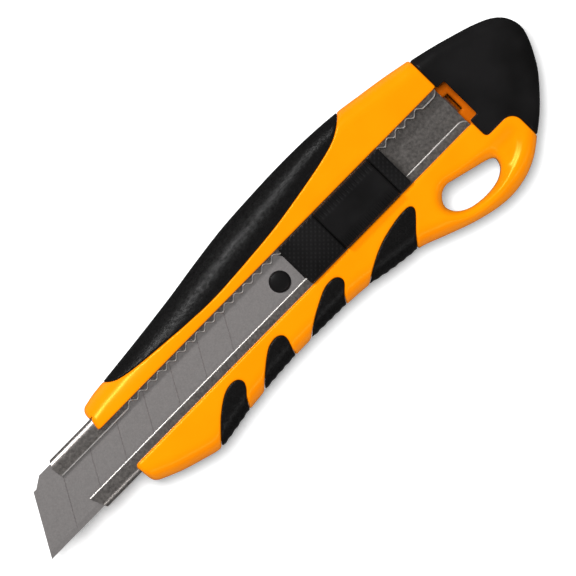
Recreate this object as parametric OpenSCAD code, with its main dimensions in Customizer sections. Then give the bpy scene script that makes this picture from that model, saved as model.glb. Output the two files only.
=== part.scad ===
// Snap-off knife for an 18 mm blade: a moulded handle with soft grips and a hanging loop, a folded
// stainless rail, a slider with a locking pawl, and a pull-off end cap.
// +X runs along the blade to its tip, +Y to the cutting edge, and +Z up to the thumb slider.
// The origin is on the flat back, under the blade's centreline, level with the blade's hole.

/* [Handle] */
// Thickness of the handle, from its flat back to its face
body_t = 16; // [15.5:0.5:18]
// Radius of the rounded edge around the face
face_r = 5; // [4:0.5:5.5]
// Radius of the rounded edge around the back
back_r = 3; // [2:0.5:4]
// Width of the slot that the slider runs in
slot_w = 13.4; // [13.3:0.1:13.8]
// Thickness of the soft grips over the hard core
grip_t = 2.2; // [1.8:0.1:2.4]

/* [Rail] */
// Width of the folded rail over its sides
rail_w = 19.6; // [19.5:0.1:19.8]
// Height of the folded rail over its lips
rail_h = 3.4; // [3.4:0.1:3.6]
// Thickness of the rail's sheet
sheet_t = 0.6; // [0.5:0.05:0.6]
// Depth of the rail's lips under the face
rail_drop = 1.6; // [1.4:0.1:1.8]
// Length of one tooth along the wavy lip
tooth_pitch = 3.6; // [3.5:0.05:3.65]
// Depth of the teeth
tooth_depth = 1.2; // [1:0.1:1.2]

/* [Blade] */
// Width of the blade
blade_w = 18; // [17.6:0.1:18]
// Length of the blade
blade_l = 100; // [95:1:105]
// Thickness of the blade
blade_t = 0.5; // [0.4:0.05:0.5]
// Distance between the score lines
segment_l = 10.1; // [9.5:0.1:10.5]
// Angle of the tip and the score lines to the cutting edge
snap_angle = 60; // [55:1:65]

/* [Slider] */
// Length of the slider over both pads
slider_l = 37.6; // [36:0.2:38]
// Height of the pads above the face
pad_rise = 1.2; // [0.8:0.1:1.6]
// Height of the thumb button above the face
button_rise = 2.6; // [2:0.1:3]
// Depth that the thumb button can be pressed
button_travel = 1.15; // [1.1:0.05:1.15]

/* [End cap] */
// Thickness of the end cap's wall
cap_wall = 2.2; // [2:0.1:2.4]
// Clearance between the end cap and the spigot it is pushed over
cap_fit = 0.2; // [0.1:0.05:0.25]

/* [Hidden] */

// Catmull-Rom curve through the knots, without the last one, so that runs join into one outline
function between(a, b, c, d, t) = 0.5 * (2 * b + (c - a) * t + (2 * a - 5 * b + 4 * c - d) * t * t
                                         + (3 * b - a - 3 * c + d) * t * t * t);
function smooth(k, n = 4) = [for (i = [0:len(k) - 2], j = [0:n - 1])
    between(k[max(i - 1, 0)], k[i], k[i + 1], k[min(i + 2, len(k) - 1)], j / n)];
function arc(centre, r, from, to, n = 6) = [for (i = [0:n])
    centre + r * [cos(from + (to - from) * i / n), sin(from + (to - from) * i / n)]];

// Outline of the handle and its end cap, seen from above the face
joint_x = -65.7;
front_x = 61.7;
spine_edge = [[joint_x + 0.3, -16.2], [-58, -17.7], [-50, -19], [-42, -20.2], [-32, -21], [-21, -21.2],
              [-10, -20.9], [1, -20.3], [12, -19], [24, -17.3], [38, -15.7], [50, -14.5],
              [56, -13.9], [59, -13.3]];
nose_top = [[59, -13.3], [60.5, -12.3], [61.2, -10], [front_x, -6]];
nose_bottom = [[front_x, 8], [61.4, 12], [60, 14.5]];
finger_edge = [[60, 14.5], [54, 17.1], [48, 19], [42.2, 20.4], [36, 19.7], [30, 18.7], [24, 18.1],
               [16, 17.5], [7, 17.2], [-2, 17.3], [-9, 17.5], [-16, 18.1], [-22, 19.3],
               [-28, 20.2], [-33, 20.9]];
loop_edge = [[-33, 20.9], [-40, 23.6], [-47, 26.2], [-54, 28], [-60, 28.5], [-66, 27.5],
             [-71, 25.3], [-75.4, 22.1]];
cap_edge = [[-75.4, 22.1], [-80, 18.5], [-84, 14.6], [-88, 10], [-91, 5], [-92.7, 1], [-93.1, -1.6],
            [-92.6, -4], [-91.2, -6.5], [-88.5, -8.7], [-84, -10.7], [-78, -12.6], [-72, -14.3],
            [joint_x, -15.8]];
outline = concat(smooth(spine_edge), smooth(nose_top), [[front_x, -6]], smooth(nose_bottom),
                 smooth(finger_edge), smooth(loop_edge), smooth(cap_edge), [[joint_x, -15.8]]);

// Edge between the handle and the end cap, which steps around the hanging loop
loop_x = -75.4;
loop_top = 12.8;
cap_zone = concat([[joint_x, -40]], arc([joint_x - 1.2, loop_top - 1.2], 1.2, 0, 90),
                  arc([loop_x + 3.4, loop_top + 3.4], 3.4, -90, -180), [[loop_x, 40], [-110, 40],
                  [-110, -40]]);
hang_hole = smooth([[-63.4, 19.4], [-63.2, 18.2], [-61.5, 17.2], [-57, 16], [-52, 14.7],
                    [-49.2, 14.1], [-46.8, 14.9], [-45.1, 17], [-45, 19], [-46.6, 21.3],
                    [-50, 23], [-55, 23.6], [-59.5, 23], [-62.4, 21.3], [-63.4, 19.4]]);

// Soft grips, as the areas of the face that they cover
spine_zone = concat(smooth([[-43.4, -21.2], [-41.6, -19], [-38.5, -16.7], [-35, -15.1],
                            [-29, -13.6], [-20, -12], [-10, -10.5], [0, -9.6], [14, -8.8],
                            [24, -9.1], [34, -9.9], [43, -10.8], [48.2, -11.8], [50.8, -13.2],
                            [52.6, -15.2]]), [[52.6, -15.2], [52.6, -30], [-43.4, -30]]);
finger_zones = [
    concat(smooth([[29.8, 18.9], [28, 15.9], [26.2, 13.8], [25.6, 12.2], [26.4, 10.8], [28.2, 10.3],
                   [30.8, 10.8], [33.8, 12.5], [37.4, 15.4], [42.6, 20.7]]), [[42.6, 20.7], [44, 30],
                   [29.8, 30]]),
    concat(smooth([[10.9, 17.4], [10.2, 15], [9.4, 12.8], [9.5, 11.3], [10.7, 10.3], [12.6, 10.2],
                   [15, 11], [19, 13.9], [24, 18.3]]), [[24, 18.3], [25, 30], [10.9, 30]]),
    concat(smooth([[-8.1, 17.6], [-9.6, 15.2], [-11.7, 13.1], [-12.1, 11.7], [-11.2, 10.4],
                   [-9.4, 10], [-7, 10.3], [-4, 11.6], [0.5, 14], [5.6, 17.4]]), [[5.6, 17.4],
                   [6.5, 30], [-8.1, 30]]),
    concat(smooth([[-31.6, 20.9], [-34.2, 17.6], [-37.8, 13.9], [-38.8, 12.4], [-38.4, 11.3],
                   [-37, 10.9], [-33.5, 11.1], [-28, 12.2], [-24, 13.6], [-20, 15.6],
                   [-15.8, 18.2]]), [[-15.8, 18.2], [-15, 30], [-31.6, 30]])
];

// Rail, from its back plate up
rail_top = body_t - rail_drop;
rail_z = rail_top - rail_h;
floor_z = rail_z + sheet_t;
lip_z = rail_top - sheet_t;
rail_rear = -65;
rail_seat = 0.1;
slot_y = 0.65;
plain_lip = 5;
tooth_count = 30;
pawl_x = -28.8;
first_tooth = pawl_x - 8 * tooth_pitch;
tooth_y = -4.35;
tab_w = 5.2;

// Slider, with its front pad level with the rear end of the blade
slider_front = -5.6;
slider_rear = slider_front - slider_l;
button_front = -18.7;
button_l = 20.3;
gap = 0.3;
slider_w = slot_w - 2 * gap;
carrier_z = floor_z + 0.05;
stud_y = 0.6;
stud_r = 2.85;
blade_z = lip_z - 0.3 - blade_t;
tongue_t = blade_z - 0.05 - carrier_z;
neck_w = 8.6;
neck_y = 0.4;
base_z = rail_top + 0.1;
web_t = 0.8;
button_z = body_t + 0.5;
pawl_w = 4.2;
pawl_t = 0.85;
pawl_z = rail_top + 0.05 - pawl_t;
pawl_rear = 2;
pusher_w = 2;
guide_r = 1.2;
guide_fit = 0.15;
hollow_z = 2.6;
hollow_top = rail_z - 2.5;

orange = [1, 0.62, 0.03];
black = [0.11, 0.11, 0.11];
soft_black = [0.16, 0.16, 0.16];
steel = [0.7, 0.7, 0.71];

module prism(points, low, high) {
    translate([0, 0, low]) linear_extrude(high - low) polygon(points);
}

module block(x, y, z) {
    translate([x[0], y[0], z[0]]) cube([x[1] - x[0], y[1] - y[0], z[1] - z[0]]);
}

module inset_layer(inset, low, high) {
    translate([0, 0, low]) linear_extrude(high - low) offset(delta = -inset) polygon(outline);
}

// The whole outer shape: a straight band with edges rounded in steps to the face and to the back
module envelope() {
    steps = 4;
    turn = 90 / steps;
    lap = 0.2;
    prism(outline, back_r, body_t - face_r);
    for (i = [0:steps - 1]) {
        inset_layer(face_r * (1 - cos((i + 0.5) * turn)), body_t - face_r * (1 - sin(i * turn)) - lap,
                    body_t - face_r * (1 - sin((i + 1) * turn)));
        inset_layer(back_r * (1 - cos((i + 0.5) * turn)), back_r * (1 - sin((i + 1) * turn)),
                    back_r * (1 - sin(i * turn)) + lap);
    }
}

// Room for the rail in the handle
module rail_tunnel() {
    half = rail_w / 2 + rail_seat;
    block([-80, 70], [-half, half], [rail_z - rail_seat, rail_top + rail_seat]);
}

// Soft grip over one area: it wraps from the face over the edge to the back, around a hard core
module grip(zone) {
    color(soft_black) difference() {
        intersection() {
            envelope();
            prism(zone, -1, body_t + 1);
        }
        inset_layer(grip_t, grip_t, body_t - grip_t);
        rail_tunnel();
    }
}

// Stub of the handle that the end cap is pushed over
module spigot() {
    points = [[joint_x + 1, -12.8], [-74.5, -10.8], [-74.5, 10.3], [joint_x + 1, 10.3]];
    prism(points, cap_wall + cap_fit, body_t - cap_wall - cap_fit);
}

module handle_body() {
    color(orange) difference() {
        union() {
            difference() {
                envelope();
                prism(cap_zone, -1, body_t + 1);
            }
            spigot();
        }
        for (zone = concat([spine_zone], finger_zones)) difference() {
            prism(zone, -1, body_t + 1);
            inset_layer(grip_t, grip_t, body_t - grip_t);
        }
        prism(hang_hole, -1, body_t + 1);
        rail_tunnel();
        // The slot over the rail, the moulded hollow and the hole for the rail's tab
        block([-80, 70], [slot_y - slot_w / 2, slot_y + slot_w / 2], [rail_z, body_t + 1]);
        block([-80, 44], [-7.6, 8.6], [hollow_z, hollow_top]);
        block([rail_rear - 1.7, rail_rear + 0.2], [-tab_w / 2 - 0.1, tab_w / 2 + 0.3],
              [hollow_top - 1, rail_z + 1]);
    }
}

module spine_grip() grip(spine_zone);
module finger_grip_1() grip(finger_zones[0]);
module finger_grip_2() grip(finger_zones[1]);
module finger_grip_3() grip(finger_zones[2]);
module finger_grip_4() grip(finger_zones[3]);

module rounded_bar(width, height, r) {
    square([width - 2 * r, height], center = true);
    square([width, height - 2 * r], center = true);
    for (side = [-1, 1], end = [-1, 1])
        translate([side * (width / 2 - r), end * (height / 2 - r)]) circle(r, $fn = 32);
}

// Gap between the two lips: wavy where the pawl locks, straight before and after, and flared behind
function wave(x) = tooth_y - tooth_depth / 2 * (1 + cos(360 * (x - pawl_x) / tooth_pitch));
module lip_gap() {
    last_tooth = first_tooth + tooth_count * tooth_pitch;
    start = first_tooth - tooth_pitch / 2;
    per_tooth = 8;
    waves = [for (i = [0:(tooth_count + 1) * per_tooth])
        let (x = start + i * tooth_pitch / per_tooth) [x, wave(x)]];
    points = concat([[rail_rear - 1, tooth_y - 1.8]], arc([rail_rear + 2.2, tooth_y - 2.6], 2.6,
                    150, 90), waves, [[80, tooth_y], [80, plain_lip]],
                    arc([rail_rear + 2.2, plain_lip + 2.6], 2.6, -90, -150),
                    [[rail_rear - 1, plain_lip + 1.8]]);
    prism(points, floor_z + 0.8, rail_top + 1);
}

module blade_rail() {
    front = [[-70, -11], [75.8, -11], [76.9, -9.2], [77.8, -7.4], [77.7, -5.6], [76.8, tooth_y],
             [76.2, plain_lip], [75.3, 6.4], [74.9, 8.6], [73.8, 11], [-70, 11]];
    color(steel) {
        intersection() {
            difference() {
                translate([rail_rear, 0, rail_z + rail_h / 2]) rotate([90, 0, 90]) linear_extrude(145)
                    difference() {
                        rounded_bar(rail_w, rail_h, 1.2);
                        rounded_bar(rail_w - 2 * sheet_t, rail_h - 2 * sheet_t, 0.6);
                    }
                lip_gap();
            }
            prism(front, 0, body_t);
        }
        block([rail_rear - sheet_t, rail_rear + 0.1], [-tab_w / 2, tab_w / 2],
              [hollow_top + 0.2, floor_z]);
    }
}

module end_cap() {
    mouth = [[joint_x + 1, -13.2], [-74, -11.2], [-74, 10.5], [joint_x + 1, 10.5]];
    color(black) difference() {
        intersection() {
            envelope();
            prism(cap_zone, -1, body_t + 1);
        }
        translate([0, 0, cap_wall]) linear_extrude(body_t - 2 * cap_wall) intersection() {
            offset(delta = -cap_wall) polygon(outline);
            offset(delta = -cap_wall) polygon(cap_zone);
        }
        prism(mouth, cap_wall, body_t - cap_wall);
        block([joint_x - 2.6, joint_x + 1], [-5.6, 6.6], [body_t - cap_wall - 1, body_t + 1]);
    }
}

// Plate in the rail with the blade's stud, and a neck between the lips with the pawl's channel
module blade_carrier() {
    channel_z = pawl_z - 0.1;
    color(black) difference() {
        union() {
            block([slider_rear + 1, 4], [-8.7, 8.7], [carrier_z, carrier_z + tongue_t]);
            block([slider_rear + 1, slider_front - 0.1], [-8.7, 8.7], [carrier_z, lip_z - 0.25]);
            block([slider_rear + 1, slider_front - 0.1], [neck_y - neck_w / 2, neck_y + neck_w / 2],
                  [carrier_z, base_z]);
            translate([0, stud_y, carrier_z]) cylinder(r = stud_r, h = rail_top - carrier_z - 0.4, $fn = 48);
            translate([0, stud_y, rail_top - 0.4]) cylinder(r1 = stud_r, r2 = stud_r - 0.5, h = 0.5, $fn = 48);
        }
        block([pawl_x - pawl_w / 2 - 0.1, pawl_x + pawl_w / 2 + 0.1], [-10, 4.1], [channel_z, base_z + 1]);
        block([pawl_x - pusher_w / 2 - 0.1, pawl_x + pusher_w / 2 + 0.1], [-3, 1],
              [channel_z - 1.2, channel_z + 1]);
        for (x = guides)
            translate([x, slot_y, base_z - 1.3]) cylinder(r = guide_r + guide_fit, h = 2, $fn = 32);
    }
}

module blade() {
    tip_x = blade_l - 5.3;
    tail_x = -5.3;
    half = blade_w / 2;
    run = 1 / tan(snap_angle);
    front = [[tail_x, -3.6], [tail_x + 3.2, -half], [tip_x - 13.4, -half],
             [tip_x - (half + 6.9) * run - 1, -6.9], [tip_x - (half + 7) * run, -7], [tip_x, half],
             [tail_x + 2.4, half], [tail_x, half - 3.6]];
    bevel = 1.6;
    edge_t = 0.06;
    groove = 0.2;
    color(steel) difference() {
        intersection() {
            prism(front, blade_z - 1, blade_z + 1);
            translate([-10, 0, 0]) rotate([90, 0, 90]) linear_extrude(blade_l + 10)
                polygon([[-half, blade_z], [half - bevel, blade_z], [half, blade_z + (blade_t - edge_t) / 2],
                         [half, blade_z + (blade_t + edge_t) / 2], [half - bevel, blade_z + blade_t],
                         [-half, blade_z + blade_t]]);
        }
        translate([0, stud_y, blade_z - 1]) cylinder(r = stud_r + 0.15, h = 2, $fn = 48);
        for (i = [1:7])
            translate([tip_x - half * run - i * segment_l, 0, blade_z + blade_t])
                rotate([0, 0, snap_angle]) rotate([45, 0, 0]) cube([30, groove, groove], center = true);
    }
}

// Slider body over the lips: knurled pads in front and behind, and a low web under the button
guides = [button_front - 2.6, button_front - button_l + 2.6];
module slider_base() {
    y = [slot_y - slider_w / 2, slot_y + slider_w / 2];
    top = body_t + pad_rise;
    color(black) difference() {
        union() {
            block([slider_rear, slider_front], y, [base_z, base_z + web_t]);
            block([button_front + gap, slider_front], y, [base_z, top]);
            block([slider_rear, button_front - button_l - gap], y, [base_z, top]);
        }
        block([pawl_x - pusher_w / 2 - 0.1, pawl_x + pusher_w / 2 + 0.1], [-3, 2], [base_z - 1, base_z + 2]);
        for (x = guides)
            translate([x, slot_y, base_z - 1]) cylinder(r = guide_r + guide_fit, h = web_t + 2, $fn = 32);
        // Grip grooves across the pads
        for (x = [slider_front - 1.6:-1.6:button_front + gap + 1])
            block([x - 0.4, x + 0.4], [-10, 10], [top - 0.4, top + 1]);
        for (x = [slider_rear + 1.3:1.4:button_front - button_l - gap - 0.8])
            block([x - 0.3, x + 0.3], [-10, 10], [top - 0.4, top + 1]);
    }
}

// Push button with a wedge that draws the pawl out of the teeth
module thumb_button() {
    y = [slot_y - slider_w / 2, slot_y + slider_w / 2];
    x = [button_front - button_l, button_front];
    top = body_t + button_rise;
    wedge_z = pawl_z + 0.3;
    rib = 1.7;
    color(black) difference() {
        union() {
            block(x, y, [button_z, top]);
            translate([pawl_x - pusher_w / 2, 0, 0]) rotate([90, 0, 90]) linear_extrude(pusher_w)
                polygon([[-1.8, wedge_z], [-1.3, wedge_z], [-1.3 + button_z - wedge_z, button_z],
                         [-1.3 + button_z - wedge_z, button_z + 0.5], [-1.8, button_z + 0.5]]);
            for (x = guides)
                translate([x, slot_y, base_z + 0.1]) cylinder(r = guide_r, h = button_z - base_z, $fn = 32);
        }
        for (side = [0, 1], i = [1:11])
            block([x[0] + i * rib - 0.4, x[0] + i * rib + 0.4], [side == 0 ? y[0] - 1 : y[1] - 2.8,
                  side == 0 ? y[0] + 2.8 : y[1] + 1], [top - 0.5, top + 1]);
    }
}

// Bowed leaf between the web and the button
module button_spring() {
    span = 11.5;
    rise = button_z - base_z - web_t - 0.3;
    r = (span * span / 4 + rise * rise) / (2 * rise);
    half_turn = asin(span / 2 / r);
    color(steel) translate([pawl_x, slot_y + 5.2, button_z - 0.05 - r]) rotate([90, 0, 0])
        linear_extrude(2.4) polygon(concat(arc([0, 0], r, 90 - half_turn, 90 + half_turn, 10),
                                           arc([0, 0], r - 0.2, 90 + half_turn, 90 - half_turn, 10)));
}

// Pawl across the rail: a round nose in the teeth, and a window with the wedge's slanted face
module lock_pawl() {
    nose_r = 0.8;
    nose_y = tooth_y - tooth_depth + 0.2 + nose_r;
    slant = -0.7;
    top = pawl_z + pawl_t;
    color(steel) difference() {
        union() {
            translate([pawl_x, nose_y, pawl_z]) cylinder(r = nose_r, h = pawl_t, $fn = 32);
            prism([[pawl_x - nose_r, nose_y], [pawl_x + nose_r, nose_y], [pawl_x + pawl_w / 2, nose_y + 0.6],
                   [pawl_x + pawl_w / 2, pawl_rear], [pawl_x - pawl_w / 2, pawl_rear],
                   [pawl_x - pawl_w / 2, nose_y + 0.6]], pawl_z, top);
        }
        translate([pawl_x - pusher_w / 2 - 0.1, 0, 0]) rotate([90, 0, 90]) linear_extrude(pusher_w + 0.2)
            polygon([[-3.05, pawl_z - 1], [slant - pawl_t - 1, pawl_z - 1], [slant + 1, top + 1],
                     [-3.05, top + 1]]);
    }
}

// Bowed leaf that presses the pawl into the teeth
module pawl_spring() {
    span = 3.6;
    rise = 1.7;
    r = (span * span / 4 + rise * rise) / (2 * rise);
    half_turn = acos((r - rise) / r);
    color(steel) translate([0, 0, pawl_z + 0.1]) linear_extrude(pawl_t - 0.2)
        polygon(concat(arc([pawl_x, pawl_rear + 0.05 + r], r, -90 - half_turn, -90 + half_turn, 12),
                       arc([pawl_x, pawl_rear + 0.05 + r], r - 0.2, -90 + half_turn, -90 - half_turn, 12)));
}

handle_body();
spine_grip();
finger_grip_1();
finger_grip_2();
finger_grip_3();
finger_grip_4();
blade_rail();
end_cap();
blade_carrier();
blade();
slider_base();
thumb_button();
button_spring();
lock_pawl();
pawl_spring();
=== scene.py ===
"""Snap-off knife: smooth moulded shapes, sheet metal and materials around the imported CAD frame.

The script's own lengths are in millimetres, in the row frame, and become metres as a mesh is made.
"""
import math

import bpy
import numpy as np
from mathutils import Matrix, Vector


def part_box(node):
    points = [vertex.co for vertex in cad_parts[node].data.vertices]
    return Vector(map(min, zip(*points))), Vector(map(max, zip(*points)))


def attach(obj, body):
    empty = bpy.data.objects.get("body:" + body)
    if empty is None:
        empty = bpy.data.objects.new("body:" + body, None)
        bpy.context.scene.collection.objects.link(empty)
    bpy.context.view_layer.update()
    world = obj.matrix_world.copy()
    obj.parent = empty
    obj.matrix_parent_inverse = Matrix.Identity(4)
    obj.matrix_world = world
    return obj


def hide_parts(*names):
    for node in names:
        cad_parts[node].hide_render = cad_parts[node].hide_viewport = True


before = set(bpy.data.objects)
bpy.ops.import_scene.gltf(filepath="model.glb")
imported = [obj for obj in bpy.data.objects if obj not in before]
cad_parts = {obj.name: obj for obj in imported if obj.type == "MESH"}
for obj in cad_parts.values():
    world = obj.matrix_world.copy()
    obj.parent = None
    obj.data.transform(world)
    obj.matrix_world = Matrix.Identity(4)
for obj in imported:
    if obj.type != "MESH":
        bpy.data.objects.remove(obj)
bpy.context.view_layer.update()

MM = 0.001


def node_box(node):
    """Lowest and highest corner of a CAD node in millimetres."""
    low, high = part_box(node)
    return np.array(low) / MM, np.array(high) / MM


# ---------------------------------------------------------------- sizes

BODY_HIGH = node_box("handle_body")[1]
RAIL_LOW, RAIL_HIGH = node_box("blade_rail")
BLADE_LOW = node_box("blade")[0]
BASE_LOW, BASE_HIGH = node_box("slider_base")
BUTTON_LOW, BUTTON_HIGH = node_box("thumb_button")
CARRIER_LOW, CARRIER_HIGH = node_box("blade_carrier")
CAP_LOW, CAP_HIGH = node_box("end_cap")
PAWL_LOW, PAWL_HIGH = node_box("lock_pawl")

# The handle: its face, front end and seam with the cap, and the radii of its edges
FACE_Z = BODY_HIGH[2]
FRONT_X = BODY_HIGH[0]
JOINT_X = CAP_HIGH[0]
FACE_R, REAR_R, BACK_R = 5.0, 3.2, 3.0
WALL = 2.2
# The soft grips: their thickness, and how far they stand above the plastic
GRIP_T = 2.2
GRIP_PROUD = 0.12
# Gaps between parts, and around the slider
JOINT_GAP = 0.06
SLOT_GAP = 0.3
SLOT_LOW, SLOT_HIGH = BASE_LOW[1] - SLOT_GAP, BASE_HIGH[1] + SLOT_GAP
SLOT_Y = (SLOT_LOW + SLOT_HIGH) / 2
# The folded rail, its teeth and its plain lip
RAIL_SEAT = 0.1
RAIL_TOP = RAIL_HIGH[2]
RAIL_H = 3.4
RAIL_Z = RAIL_TOP - RAIL_H
SHEET_T = 0.6
RAIL_HALF = RAIL_HIGH[1]
TOOTH_PITCH, TOOTH_DEPTH, TOOTH_COUNT = 3.6, 1.2, 30
TOOTH_Y, PLAIN_LIP = -4.35, 4.8
PAWL_X = (PAWL_LOW[0] + PAWL_HIGH[0]) / 2
FIRST_TOOTH = PAWL_X - 8 * TOOTH_PITCH
LAST_TOOTH = FIRST_TOOTH + (TOOTH_COUNT + 0.5) * TOOTH_PITCH

# Cuts along the knife run past both of its ends, and cuts into its face start above it
CUT_REAR, CUT_FRONT = -80, 70
CUT_TOP = FACE_Z + 4
# Rounding of inner edges
CRISP = 0.15

# ---------------------------------------------------------------- outlines

SPINE_EDGE = [(-65.4, -16.2), (-58, -17.7), (-50, -19), (-42, -20.2), (-32, -21), (-21, -21.2),
              (-10, -20.9), (1, -20.3), (12, -19), (24, -17.3), (38, -15.7), (50, -14.5),
              (56, -13.9), (59, -13.3)]
FINGER_EDGE = [(60, 14.5), (54, 17.1), (48, 19), (42.2, 20.4), (36, 19.7), (30, 18.7), (24, 18.1),
               (16, 17.5), (7, 17.2), (-2, 17.3), (-9, 17.5), (-16, 18.1), (-22, 19.3),
               (-28, 20.2), (-33, 20.9), (-40, 23.6), (-47, 26.2), (-54, 28), (-60, 28.5),
               (-66, 27.5), (-71, 25.3), (-75.4, 22.1)]
CAP_EDGE = [(-75.4, 22.1), (-80, 18.5), (-84, 14.6), (-88, 10), (-91, 5), (-92.7, 1), (-93.1, -1.6),
            (-92.6, -4), (-91.2, -6.5), (-88.5, -8.7), (-84, -10.7), (-78, -12.6), (-72, -14.3),
            (-65.7, -15.8)]
HANG_HOLE = [(-63.4, 19.4), (-63.2, 18.2), (-61.5, 17.2), (-57, 16), (-52, 14.7),
             (-49.2, 14.1), (-46.8, 14.9), (-45.1, 17), (-45, 19), (-46.6, 21.3),
             (-50, 23), (-55, 23.6), (-59.5, 23), (-62.4, 21.3), (-63.4, 19.4)]
SPINE_ZONE = [(-43.4, -21.2), (-41.6, -19), (-38.5, -16.7), (-35, -15.1),
              (-29, -13.6), (-20, -12), (-10, -10.5), (0, -9.6), (14, -8.8),
              (24, -9.1), (34, -9.9), (43, -10.8), (48.2, -11.8), (50.8, -13.2), (52.6, -15.2)]
FINGER_ZONES = {
    "finger_grip_1": [(29.8, 18.9), (28, 15.9), (26.2, 13.8), (25.6, 12.2), (26.4, 10.8),
                      (28.2, 10.3), (30.8, 10.8), (33.8, 12.5), (37.4, 15.4), (42.6, 20.7)],
    "finger_grip_2": [(10.9, 17.4), (10.2, 15), (9.4, 12.8), (9.5, 11.3), (10.7, 10.3),
                      (12.6, 10.2), (15, 11), (19, 13.9), (24, 18.3)],
    "finger_grip_3": [(-8.1, 17.6), (-9.6, 15.2), (-11.7, 13.1), (-12.1, 11.7), (-11.2, 10.4),
                      (-9.4, 10), (-7, 10.3), (-4, 11.6), (0.5, 14), (5.6, 17.4)],
    "finger_grip_4": [(-31.6, 20.9), (-34.2, 17.6), (-37.8, 13.9), (-38.8, 12.4), (-38.4, 11.3),
                      (-37, 10.9), (-33.5, 11.1), (-28, 12.2), (-24, 13.6), (-20, 15.6),
                      (-15.8, 18.2)],
}
LOOP_X, LOOP_TOP = -75.4, 12.8


def smooth(knots, steps=8):
    """Catmull-Rom curve through the knots, without the last one."""
    k = [np.array(p, float) for p in knots]
    points = []
    for i in range(len(k) - 1):
        a, b, c, d = k[max(i - 1, 0)], k[i], k[i + 1], k[min(i + 2, len(k) - 1)]
        for j in range(steps):
            t = j / steps
            points.append(0.5 * (2 * b + (c - a) * t + (2 * a - 5 * b + 4 * c - d) * t * t
                                 + (3 * b - a - 3 * c + d) * t * t * t))
    return points


def arc(centre, r, start, end, steps=10):
    angles = np.radians(np.linspace(start, end, steps + 1))
    return [np.array(centre) + r * np.array([math.cos(a), math.sin(a)]) for a in angles]


NOSE = 8.0
SIDES = (smooth(SPINE_EDGE) + [(59, -13.3), (59 + NOSE, -12.0), (60 + NOSE, 12.0)]
         + smooth(FINGER_EDGE) + smooth(CAP_EDGE) + [(-65.7, -15.8)])
CAP_ZONE = ([(JOINT_X, -60)] + arc((JOINT_X - 1.2, LOOP_TOP - 1.2), 1.2, 0, 90)
            + arc((LOOP_X + 3.4, LOOP_TOP + 3.4), 3.4, -90, -180)
            + [(LOOP_X, 60), (-130, 60), (-130, -60)])
HOLE = smooth(HANG_HOLE)
ZONES = {"spine_grip": smooth(SPINE_ZONE) + [(52.6, -15.2), (52.6, -40), (-43.4, -40)]}
for zone_name, zone_knots in FINGER_ZONES.items():
    ZONES[zone_name] = smooth(zone_knots) + [zone_knots[-1], (zone_knots[-1][0] + 2, 40),
                                             (zone_knots[0][0], 40)]


# ---------------------------------------------------------------- distance fields


def outline_distance(points, x, y):
    """Distance from each (x, y) to a closed outline, negative inside it."""
    nearest = np.full(x.shape, 1e9)
    inside = np.zeros(x.shape, bool)
    for (ax, ay), (bx, by) in zip(points, list(points[1:]) + [points[0]]):
        ex, ey = bx - ax, by - ay
        if ex * ex + ey * ey < 1e-12:
            continue
        wx, wy = x - ax, y - ay
        t = np.clip((wx * ex + wy * ey) / (ex * ex + ey * ey), 0, 1)
        nearest = np.minimum(nearest, (wx - ex * t) ** 2 + (wy - ey * t) ** 2)
        if ey != 0:
            crosses = (ay > y) != (by > y)
            inside ^= crosses & (x < ax + ex * wy / ey)
    return np.where(inside, -1, 1) * np.sqrt(nearest)


def both(a, b, r):
    """Where two shapes overlap, with the edge between them rounded to radius r."""
    return np.minimum(np.maximum(a, b), -r) + np.hypot(np.maximum(a + r, 0), np.maximum(b + r, 0))


def cut(a, b, r):
    """Shape a without shape b, with the edge between them rounded to radius r."""
    return both(a, -b, r)


def slab(side, z, low, high, low_r, high_r):
    """An outline raised from low to high, with its two edges rounded."""
    upper = z > (low + low_r + high - high_r) / 2
    r = np.where(upper, high_r, low_r)
    out = np.where(upper, z - high, low - z)
    a, b = side + r, out + r
    return np.minimum(np.maximum(a, b), 0) + np.hypot(np.maximum(a, 0), np.maximum(b, 0)) - r


def box_distance(x, y, z, low, high):
    """How far each point is outside a box, negative inside it."""
    parts = [np.maximum(lo - v, v - hi) for v, lo, hi in zip((x, y, z), low, high)]
    return np.maximum(np.maximum(parts[0], parts[1]), parts[2])


def box_side(x, y, low, high, corner):
    """Distance to a rectangle with round corners, seen from above."""
    qx = np.abs(x - (low[0] + high[0]) / 2) - (high[0] - low[0]) / 2 + corner
    qy = np.abs(y - (low[1] + high[1]) / 2) - (high[1] - low[1]) / 2 + corner
    return np.hypot(np.maximum(qx, 0), np.maximum(qy, 0)) + np.minimum(np.maximum(qx, qy), 0) - corner


def spaced(*stops):
    """Coordinates through the stops: start, then (end, step) for each stretch."""
    values = [stops[0]]
    for end, step in stops[1:]:
        count = max(1, round((end - values[-1]) / step))
        values += list(np.linspace(values[-1], end, count + 1)[1:])
    return values


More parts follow.
